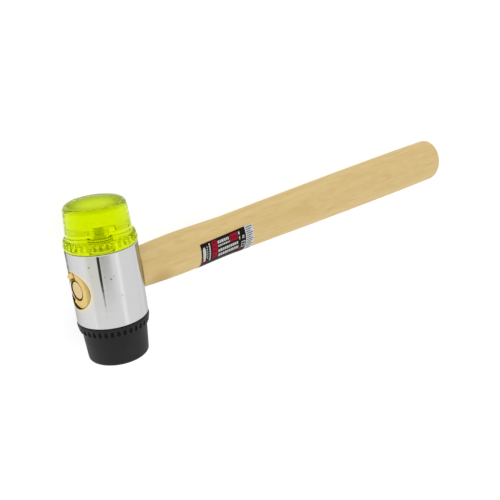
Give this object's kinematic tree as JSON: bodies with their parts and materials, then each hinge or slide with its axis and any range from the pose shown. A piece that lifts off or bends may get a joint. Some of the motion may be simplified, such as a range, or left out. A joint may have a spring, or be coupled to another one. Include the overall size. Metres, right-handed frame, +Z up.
{
  "type": "soft face hammer",
  "caption": "Soft face hammer: chromed barrel head with a clear yellow plastic face and a black rubber face that unscrew, on an oval wooden handle.",
  "frame": {"origin": "on the bench under the middle of the hammer's box, with the hammer lying on its side", "axes": "+X along the handle from the head to the butt, +Y along the head to the plastic face, +Z up"},
  "size_m": [0.3202, 0.0908, 0.0404],
  "materials": {
    "chromed_steel": "bright chrome plate on turned steel, a few small pits",
    "yellow_plastic": "clear lime yellow moulding, glossy sides, slightly scuffed striking surface",
    "insert_steel": "turned, zinc plated, with dark anchor grooves",
    "stud_steel": "dark oiled steel with a rolled thread",
    "black_rubber": "satin black moulding",
    "handle_wood": "sanded pale hardwood with straight grain and a thin satin lacquer",
    "wedge_steel": "plain dark steel",
    "label_film": "satin printed film"
  },
  "bodies": {
    "head": {"head_body": "chromed_steel", "plastic_face_stud": "stud_steel", "rubber_face_stud": "stud_steel", "handle": "handle_wood", "ring_wedge": "wedge_steel", "handle_label": "label_film"},
    "plastic_insert": {"plastic_face_insert": "insert_steel"},
    "plastic_face": {"plastic_face": "yellow_plastic"},
    "rubber_insert": {"rubber_face_insert": "insert_steel"},
    "rubber_face": {"rubber_face": "black_rubber"}
  },
  "joints": [
    {"name": "plastic_lift", "type": "slide", "parent": "head", "child": "plastic_insert", "axis": [0, 1, 0], "range_m": [0, 0.01]},
    {"name": "plastic_turn", "type": "hinge", "parent": "plastic_insert", "child": "plastic_face", "pos_m": [-0.1399, 0, 0.0202], "axis": [0, 1, 0], "range_deg": [0, 3600]},
    {"name": "rubber_lift", "type": "slide", "parent": "head", "child": "rubber_insert", "axis": [0, -1, 0], "range_m": [0, 0.01]},
    {"name": "rubber_turn", "type": "hinge", "parent": "rubber_insert", "child": "rubber_face", "pos_m": [-0.1399, 0, 0.0202], "axis": [0, -1, 0], "range_deg": [0, 3600]}
  ],
  "couplings": [
    {"joint": "plastic_lift", "follows": "plastic_turn", "m_per_rad": 0.00015915},
    {"joint": "rubber_lift", "follows": "rubber_turn", "m_per_rad": 0.00015915}
  ]
}
